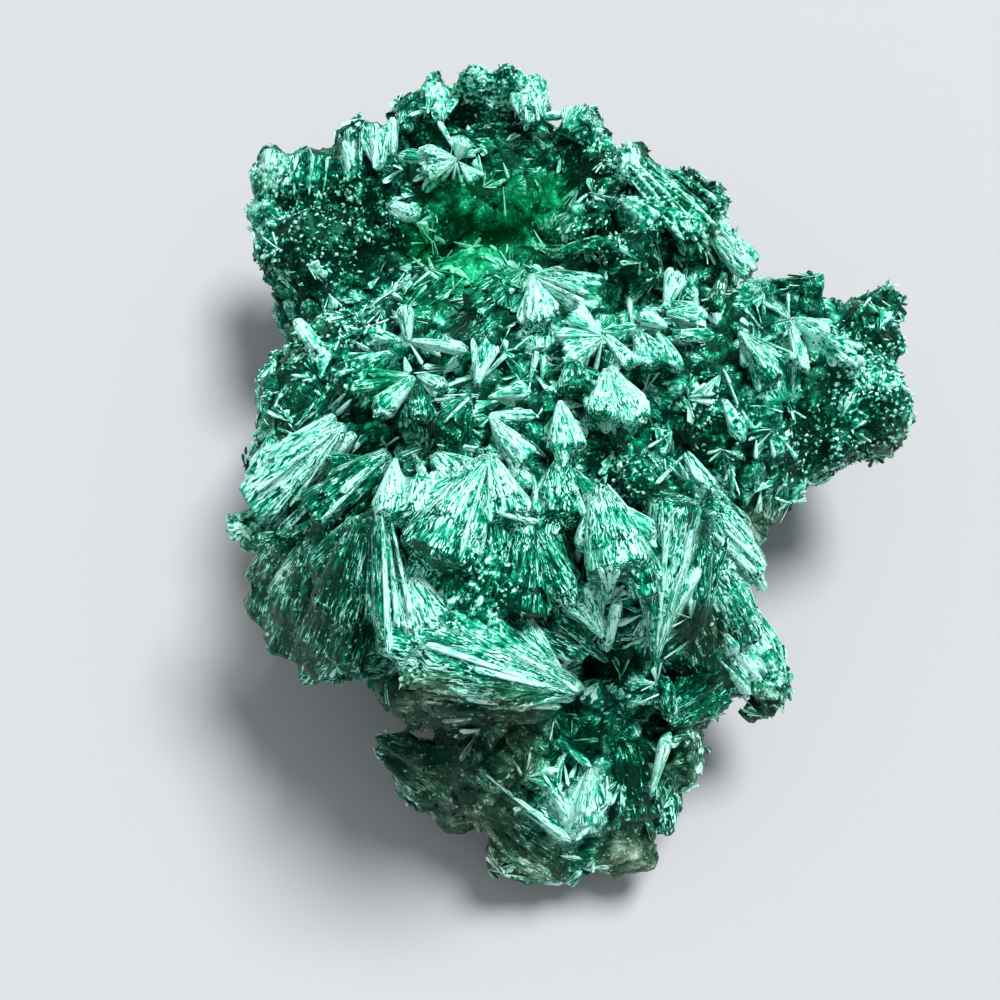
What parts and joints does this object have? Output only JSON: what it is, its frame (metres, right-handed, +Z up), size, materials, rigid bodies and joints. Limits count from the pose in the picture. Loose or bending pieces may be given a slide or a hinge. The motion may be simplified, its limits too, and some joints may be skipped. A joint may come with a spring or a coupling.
{
  "type": "mineral specimen",
  "caption": "Hand-sized lump of fibrous malachite: radiating fans and rosettes of green crystals around a hollow, with a side arm, on a flat broken base.",
  "frame": {"origin": "middle of the flat face that the specimen rests on", "axes": "+Z up, +Y from the low foot to the crown, +X towards the side arm"},
  "size_m": [0.0614, 0.074, 0.0351],
  "materials": {
    "malachite": "silky mineral, slightly rough"
  },
  "bodies": {
    "root": {"malachite": "malachite"}
  },
  "joints": []
}
